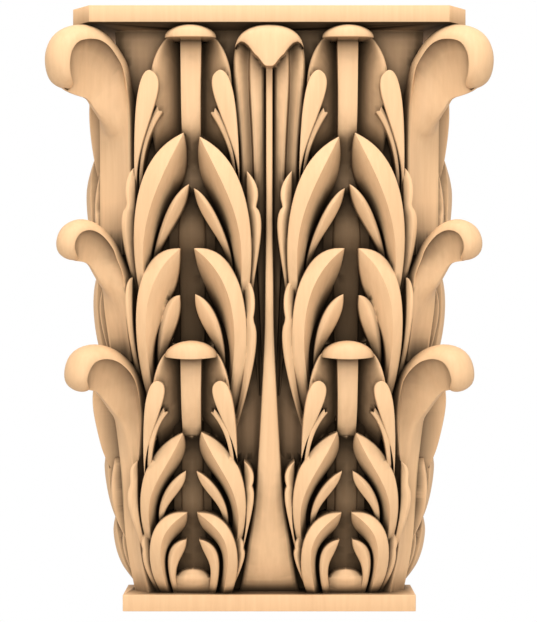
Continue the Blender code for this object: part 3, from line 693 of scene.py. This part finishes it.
# Painted shade: a ramp from openness to near black that darkens the wood colour where shade falls in the recesses.
painted_recess_shade = nodes.new("ShaderNodeValToRGB")
painted_recess_shade.color_ramp.elements[0].position = 0.05
painted_recess_shade.color_ramp.elements[0].color = (0.02, 0.02, 0.02, 1.0)
painted_recess_shade.color_ramp.elements[1].position = 0.985
painted_recess_shade.color_ramp.elements[1].color = (1.0, 1.0, 1.0, 1.0)
for at, tone in ((0.3, 0.055), (0.45, 0.11), (0.58, 0.21), (0.7, 0.38), (0.8, 0.57), (0.9, 0.81)):
    stop = painted_recess_shade.color_ramp.elements.new(at)
    stop.color = (tone, tone, tone, 1.0)
links.new(painted_shade_mask.outputs["Fac"], painted_recess_shade.inputs["Fac"])
broad_tone = nodes.new("ShaderNodeValToRGB")
broad_tone.color_ramp.elements[0].color = (0.965, 0.955, 0.94, 1.0)
broad_tone.color_ramp.elements[1].color = (1.0, 1.0, 1.0, 1.0)
links.new(broad.outputs["Fac"], broad_tone.inputs["Fac"])
# The grain colour multiplied by the painted shade.
grain_with_painted_shade = nodes.new("ShaderNodeMix")
grain_with_painted_shade.data_type = "RGBA"
grain_with_painted_shade.blend_type = "MULTIPLY"
grain_with_painted_shade.inputs["Factor"].default_value = 1.0
links.new(grain_tone.outputs["Color"], grain_with_painted_shade.inputs["A"])
links.new(painted_recess_shade.outputs["Color"], grain_with_painted_shade.inputs["B"])
patch = nodes.new("ShaderNodeMix")
patch.data_type = "RGBA"
patch.blend_type = "MULTIPLY"
patch.inputs["Factor"].default_value = 1.0
links.new(grain_with_painted_shade.outputs["Result"], patch.inputs["A"])
links.new(broad_tone.outputs["Color"], patch.inputs["B"])
links.new(patch.outputs["Result"], skin.inputs["Base Color"])
# Painted shade on the sheen: the specular level is dimmed in the recesses by the same ramp.
specular_with_painted_shade = nodes.new("ShaderNodeMath")
specular_with_painted_shade.operation = "MULTIPLY"
specular_with_painted_shade.inputs[1].default_value = 0.3
links.new(painted_recess_shade.outputs["Color"], specular_with_painted_shade.inputs[0])
links.new(specular_with_painted_shade.outputs["Value"], skin.inputs["Specular IOR Level"])
sheen = nodes.new("ShaderNodeMapRange")
sheen.inputs["To Min"].default_value = 0.62
sheen.inputs["To Max"].default_value = 0.5
links.new(grain.outputs["Fac"], sheen.inputs["Value"])
links.new(sheen.outputs["Result"], skin.inputs["Roughness"])
bump = nodes.new("ShaderNodeBump")
bump.inputs["Strength"].default_value = 0.12
bump.inputs["Distance"].default_value = 0.0002
links.new(grain.outputs["Fac"], bump.inputs["Height"])
links.new(bump.outputs["Normal"], skin.inputs["Normal"])
mesh.materials.clear()
mesh.materials.append(wood)
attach(capital, "root")
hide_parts("acanthus_capital")

# The studio: a plain pale floor, a white room, a broad lamp in front and one above, and
# the camera square to the face, as the picture was taken.
bm = bmesh.new()
bmesh.ops.create_grid(bm, x_segments=1, y_segments=1, size=4.0)
floor_mesh = bpy.data.meshes.new("floor")
bm.to_mesh(floor_mesh)
bm.free()
floor = bpy.data.objects.new("floor", floor_mesh)
bpy.context.scene.collection.objects.link(floor)
paper = bpy.data.materials.new("floor_paper")
paper.use_nodes = True
sheet_nodes = paper.node_tree.nodes
sheet_nodes["Principled BSDF"].inputs["Base Color"].default_value = (0.55, 0.55, 0.55, 1.0)
sheet_nodes["Principled BSDF"].inputs["Roughness"].default_value = 0.9
bright = sheet_nodes.new("ShaderNodeEmission")
bright.inputs["Strength"].default_value = 1.0
looked_at = sheet_nodes.new("ShaderNodeLightPath")
blend = sheet_nodes.new("ShaderNodeMixShader")
paper.node_tree.links.new(looked_at.outputs["Is Camera Ray"], blend.inputs["Fac"])
paper.node_tree.links.new(sheet_nodes["Principled BSDF"].outputs["BSDF"], blend.inputs[1])
paper.node_tree.links.new(bright.outputs["Emission"], blend.inputs[2])
paper.node_tree.links.new(blend.outputs["Shader"], sheet_nodes["Material Output"].inputs["Surface"])
floor_mesh.materials.append(paper)

room = bpy.data.worlds.new("room")
bpy.context.scene.world = room
room.use_nodes = True
air = room.node_tree.nodes
glow = air["Background"]
glow.inputs["Color"].default_value = (1.0, 1.0, 1.0, 1.0)
glow.inputs["Strength"].default_value = 0.65
white = air.new("ShaderNodeBackground")
white.inputs["Strength"].default_value = 1.0
white.inputs["Color"].default_value = (1.0, 1.0, 1.0, 1.0)
seen = air.new("ShaderNodeLightPath")
swap = air.new("ShaderNodeMixShader")
room.node_tree.links.new(seen.outputs["Is Camera Ray"], swap.inputs["Fac"])
room.node_tree.links.new(glow.outputs["Background"], swap.inputs[1])
room.node_tree.links.new(white.outputs["Background"], swap.inputs[2])
room.node_tree.links.new(swap.outputs["Shader"], air["World Output"].inputs["Surface"])

for name, place, aim, size, power in (("front_lamp", (0.0, -1.25, 0.12), (0.0, 0.0, 0.14), 0.6, 7.4),
                                      ("top_lamp", (0.0, -0.45, 1.05), (0.0, 0.0, 0.15), 0.5, 6.2)):
    lamp = bpy.data.lights.new(name, "AREA")
    lamp.energy = power
    lamp.size = size
    stand = bpy.data.objects.new(name, lamp)
    stand.location = place
    stand.rotation_euler = (Vector(aim) - Vector(place)).to_track_quat("-Z", "Y").to_euler()
    bpy.context.scene.collection.objects.link(stand)

view = bpy.data.cameras.new("camera")
view.sensor_fit = "VERTICAL"
view.sensor_height = 24.0
view.lens = 50.7
view.shift_x = -0.8 / 622.0
view.shift_y = 14.0 / 622.0
view.clip_start = 0.01
tripod = bpy.data.objects.new("camera", view)
tripod.location = (0.0, BACK_Y * 0.001 - 0.699, 0.1465)
tripod.rotation_euler = (0.5 * math.pi, 0.0, 0.0)
bpy.context.scene.collection.objects.link(tripod)
bpy.context.scene.camera = tripod
bpy.context.scene.view_settings.view_transform = "Standard"
